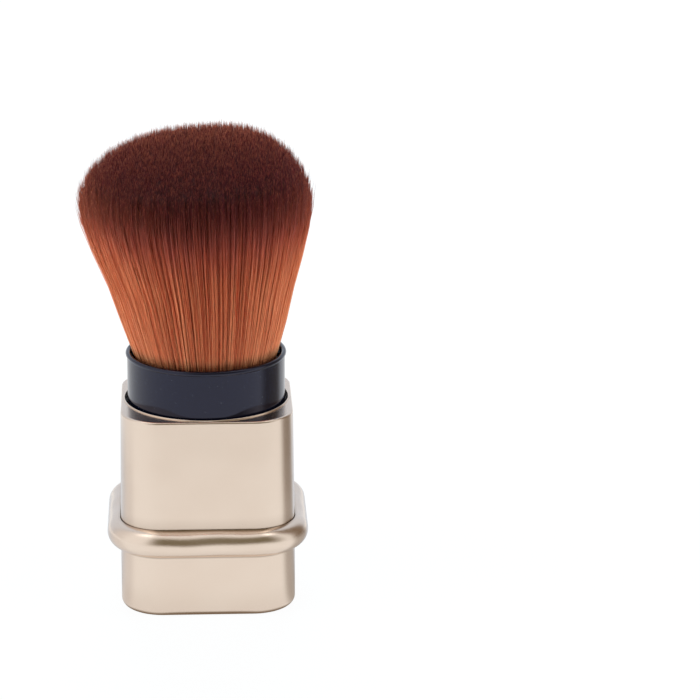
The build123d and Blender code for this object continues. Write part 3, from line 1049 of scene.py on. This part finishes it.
# %% Light the room
ROOM_LIGHT = 0.44
GLINT = (1.9, 1.9, 1.9, 1)
LEFT_GLINT = towards(-80, 66), 14, 5
RIGHT_GLINT = towards(80, 66), 14, 5
FRONT_SINES = (-0.20, 0.25, 0.73, 1.0)


def seen_directly(field):
    """1 for rays from the camera, from a mirroring surface and through glass, 0 for others."""
    camera_ray, glossy, through = [
        field.node("ShaderNodeLightPath", output=name)
        for name in ("Is Camera Ray", "Is Glossy Ray", "Is Transmission Ray")
    ]
    return field.calculate("MINIMUM", camera_ray + glossy + through, 1.0)


def studio(field):
    direction = field.node("ShaderNodeTexCoord", output="Generated")
    above = band(coordinate(direction, 2), *FRONT_SINES) * in_front(direction)
    mirrored = colour_mix(above, side_colour(direction), OLIVE_DARK)
    glints = cone(direction, *LEFT_GLINT) + cone(direction, *RIGHT_GLINT)
    mirrored = colour_mix(glints, mirrored, GLINT)
    glossy = field.node("ShaderNodeLightPath", output="Is Glossy Ray")
    direct = seen_directly(field)
    strength = direct + (1 - direct) * ROOM_LIGHT
    return field.node(
        "ShaderNodeBackground",
        inputs={"Color": colour_mix(glossy, WHITE, mirrored), "Strength": strength},
    )


world = bpy.data.worlds.new("studio")
scene.world = world
world.use_nodes = True
world.node_tree.nodes.clear()
sky = Field(world.node_tree)
sky.node("ShaderNodeOutputWorld", inputs={"Surface": studio(sky)})
print("room has", len(world.node_tree.nodes), "nodes")

# %% [markdown]
# ## Floor
# The brush stands on a white sweep in the photograph, with hardly any shadow. A large square
# does for it, in every view.

# %% Make the floor
FLOOR_HALF = 3.0

signs = (-1, -1), (1, -1), (1, 1), (-1, 1)
floor_corners = [(a * FLOOR_HALF, b * FLOOR_HALF, 0) for a, b in signs]
floor_mesh = bpy.data.meshes.new("floor")
floor_mesh.from_pydata(floor_corners, [], [(0, 1, 2, 3)])
floor = bpy.data.objects.new("floor", floor_mesh)
scene.collection.objects.link(floor)
print("floor is", 2 * FLOOR_HALF, "m across")

# %% [markdown]
# The floor is white where the camera sees it, and keeps a small share of plain diffuse white,
# which holds the faint shadow under the brush. The upright faces of the body mirror the floor
# and not the room. So in a mirroring surface the floor carries the room's darker places on, by
# the direction from a point just inside the front face, and it is dark right round the foot.

# %% Floor material
FLOOR_GLOW = 0.95
FLOOR_WHITE = (0.95, 0.95, 0.95, 1)
INSIDE_FRONT = (0, -11 * MM, 0)
RIGHT_NEAR = 0.64
RIGHT_FURTHER = 0.31
RIGHT_CHANGE = (30 * MM, 120 * MM)
BACK_FADE = (95 * MM, 140 * MM)
BEYOND_START = (150 * MM, 400 * MM)
BEYOND_SHARE = 0.6
FOOT_EDGE = 15.9 * MM
FOOT_CLEAR = 17.0 * MM
FOOT_FAR = 30.0 * MM
FOOT_SHADE = 0.88


def round_the_foot(place):
    """Shade round the foot, whose rounded square is even in x and y to the fourth power."""
    squared = vector_math("MULTIPLY", place, place)
    squared_x, squared_y = coordinate(squared, 0), coordinate(squared, 1)
    fourth = squared_x * squared_x + squared_y * squared_y
    close = FOOT_SHADE * (1 - fourth.step(FOOT_EDGE**4, FOOT_CLEAR**4))
    return close + (1 - FOOT_SHADE) * (1 - fourth.step(FOOT_CLEAR**4, FOOT_FAR**4))


def white_floor(field):
    place = surface_place(field)
    away = vector_math("LENGTH", place, output="Value")
    right = RIGHT_NEAR + RIGHT_FURTHER * away.step(*RIGHT_CHANGE)
    back = 1 - away.step(*BACK_FADE)
    beyond = BEYOND_SHARE * (away.step(*BEYOND_START) * in_front(place))
    from_front = vector_math("SUBTRACT", place, INSIDE_FRONT)
    mirrored = colour_mix(beyond, side_colour(from_front, right, back), OLIVE_DARK)
    mirrored = colour_mix(round_the_foot(place), mirrored, WARM_DARK)
    glossy = field.node("ShaderNodeLightPath", output="Is Glossy Ray")
    colour = colour_mix(glossy, WHITE, mirrored)
    plain = field.node("ShaderNodeBsdfDiffuse", inputs={"Color": FLOOR_WHITE})
    glow = field.node("ShaderNodeEmission", inputs={"Color": colour, "Strength": 1.0})
    share = seen_directly(field) * FLOOR_GLOW
    return field.node("ShaderNodeMixShader", inputs={0: share, 1: plain, 2: glow})


floor_mesh.materials.append(new_material("floor_white", white_floor))

# %% [markdown]
# ## Lamps
# Two soft lamps stand in front, the larger one at the left. One at each side and one behind
# send light past and through the thin hair, which gives the tuft its bright edge. These three
# are a little blue, because hair lets red light through best, and under white light its edge
# would turn orange. No lamp is seen in the metal, where the room's own bright and dark places
# do the work.

# %% Add the lamps
AIM_HEIGHT = 50 * MM
FRONT_WHITE = (1, 1, 1)
SIDE_BLUE = (0.80, 1.15, 1.30)


def soft_lamp(name, azimuth, elevation, distance, side, brightness, colour):
    """A square lamp that faces the brush and isn't seen in mirroring surfaces."""
    data = bpy.data.lights.new(name, "AREA")
    data.shape = "SQUARE"
    data.size = side
    data.energy = brightness * math.pi * side * side
    data.color = colour
    lamp = bpy.data.objects.new(name, data)
    scene.collection.objects.link(lamp)
    aim = Vector((0, 0, AIM_HEIGHT))
    lamp.location = aim + Vector(towards(azimuth, elevation)) * distance
    lamp.rotation_euler = (aim - lamp.location).to_track_quat("-Z", "Y").to_euler()
    lamp.visible_glossy = False
    print(name, "power in W:", round(data.energy, 2))


soft_lamp("key_lamp", -38, 42, 0.60, 0.41, 1.25, FRONT_WHITE)
soft_lamp("fill_lamp", 62, 48, 0.65, 0.30, 1.25, FRONT_WHITE)
soft_lamp("left_lamp", -80, 8, 0.50, 0.35, 6.0, SIDE_BLUE)
soft_lamp("right_lamp", 80, 8, 0.50, 0.35, 5.1, SIDE_BLUE)
soft_lamp("rim_lamp", 180, 18, 0.60, 0.35, 11.0, SIDE_BLUE)

# %% [markdown]
# ## Colours
# Colours are shown as they are, with no film curve.

# %% Show colours as they are
scene.view_settings.view_transform = "Standard"
